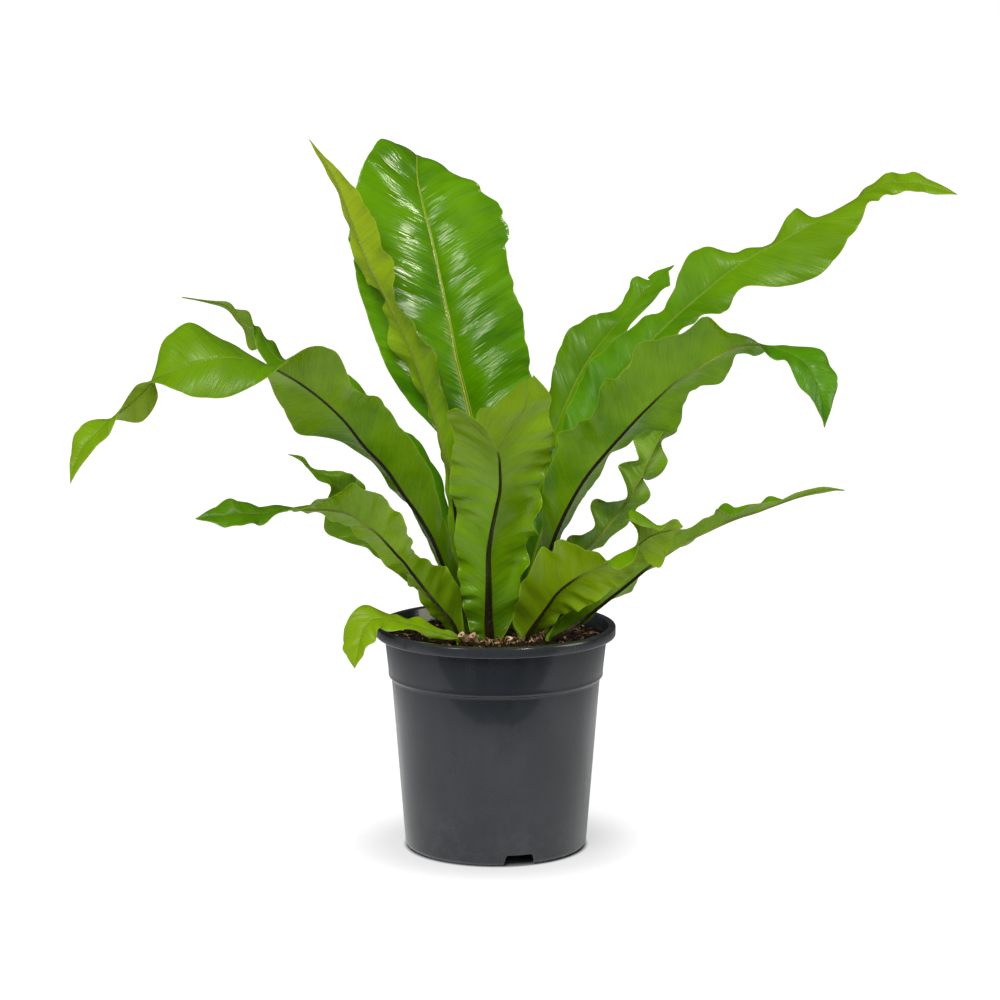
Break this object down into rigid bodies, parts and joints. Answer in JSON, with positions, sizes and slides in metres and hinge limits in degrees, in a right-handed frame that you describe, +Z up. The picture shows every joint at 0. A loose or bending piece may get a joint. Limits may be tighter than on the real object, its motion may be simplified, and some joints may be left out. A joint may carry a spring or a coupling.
{
  "type": "potted birds nest fern",
  "caption": "Bird's nest fern with long wavy strap fronds rising from a crown in a round plastic nursery pot filled with potting soil.",
  "frame": {"origin": "middle of the pot's underside, on the surface that the pot stands on", "axes": "+Z up, -Y towards the front of the plant, +X to its right"},
  "size_m": [0.6198, 0.3945, 0.4992],
  "materials": {
    "pot_plastic": "satin charcoal, moulded",
    "potting_soil": "rough dark peat and bark",
    "crown_scales": "rough brown scales and cut leaf bases",
    "leaf": "glossy bright green above, satin olive below"
  },
  "bodies": {
    "root": {"pot": "pot_plastic", "soil": "potting_soil", "crown": "crown_scales", "frond_front": "leaf", "frond_left_low": "leaf", "frond_left_long": "leaf", "frond_left_back": "leaf", "frond_left_inner": "leaf", "frond_over_rim": "leaf", "frond_tall": "leaf", "frond_slim": "leaf", "frond_right_arch": "leaf", "frond_right_long": "leaf", "frond_right_inner": "leaf", "frond_curly": "leaf", "frond_right_low": "leaf", "frond_right_curl": "leaf", "frond_rear": "leaf", "frond_rear_right": "leaf"}
  },
  "joints": []
}
